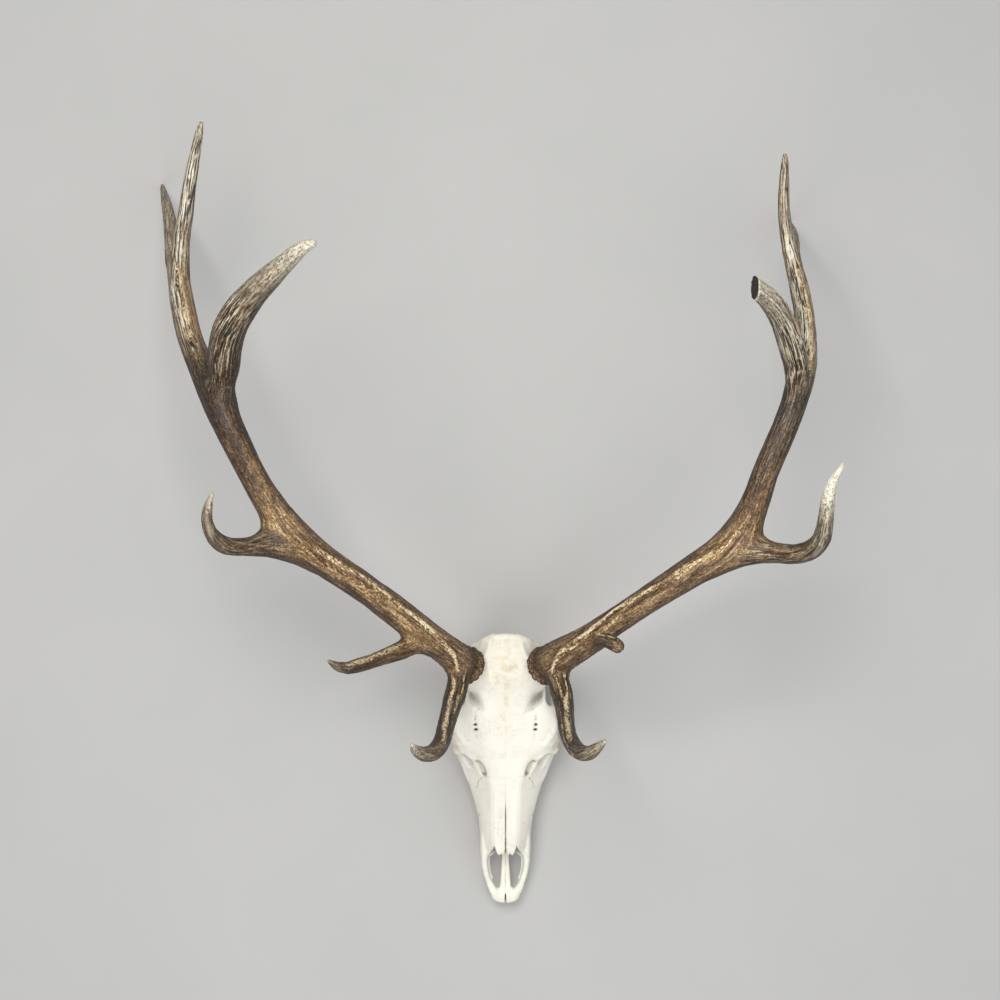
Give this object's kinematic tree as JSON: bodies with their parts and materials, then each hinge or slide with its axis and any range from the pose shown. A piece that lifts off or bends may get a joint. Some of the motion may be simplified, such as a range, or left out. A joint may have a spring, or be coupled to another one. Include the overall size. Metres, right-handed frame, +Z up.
{
  "type": "elk skull",
  "caption": "Bleached bull elk skull without lower jaw, with both branching antlers attached, lying face up on its cheek teeth and rear tines.",
  "frame": {"origin": "middle of the object's bounding box, on the surface it lies on", "axes": "+Z up, out of the skull's face; +Y from the nose towards the nape and the antler crowns; +X to the right in the picture"},
  "size_m": [1.0478, 1.2332, 0.6514],
  "materials": {
    "bleached_bone": "dry bleached bone, matt, fine pits and sutures",
    "tooth_enamel": "worn cheek-tooth enamel, satin, stained in the folds",
    "antler_brown": "hard antler, brown in the grooves, polished cream on the ridges",
    "antler_tan": "hard antler, paling to a smooth ivory tip"
  },
  "bodies": {
    "root": {"cranium": "bleached_bone", "nasal_bone_left": "bleached_bone", "nasal_bone_right": "bleached_bone", "premaxilla_left": "bleached_bone", "premaxilla_right": "bleached_bone", "tooth_left_1": "tooth_enamel", "tooth_left_2": "tooth_enamel", "tooth_left_3": "tooth_enamel", "tooth_left_4": "tooth_enamel", "tooth_left_5": "tooth_enamel", "tooth_left_6": "tooth_enamel", "tooth_right_1": "tooth_enamel", "tooth_right_2": "tooth_enamel", "tooth_right_3": "tooth_enamel", "tooth_right_4": "tooth_enamel", "tooth_right_5": "tooth_enamel", "tooth_right_6": "tooth_enamel", "left_beam_lower": "antler_brown", "left_beam_upper": "antler_brown", "left_crown_tine": "antler_tan", "left_brow_tine": "antler_tan", "left_bez_tine": "antler_tan", "left_trez_tine": "antler_tan", "left_royal_tine": "antler_tan", "left_rear_tine": "antler_tan", "right_beam_lower": "antler_brown", "right_beam_upper": "antler_brown", "right_crown_tine": "antler_tan", "right_brow_tine": "antler_tan", "right_bez_tine": "antler_tan", "right_trez_tine": "antler_tan", "right_royal_tine": "antler_tan", "right_rear_tine": "antler_tan"}
  },
  "joints": []
}
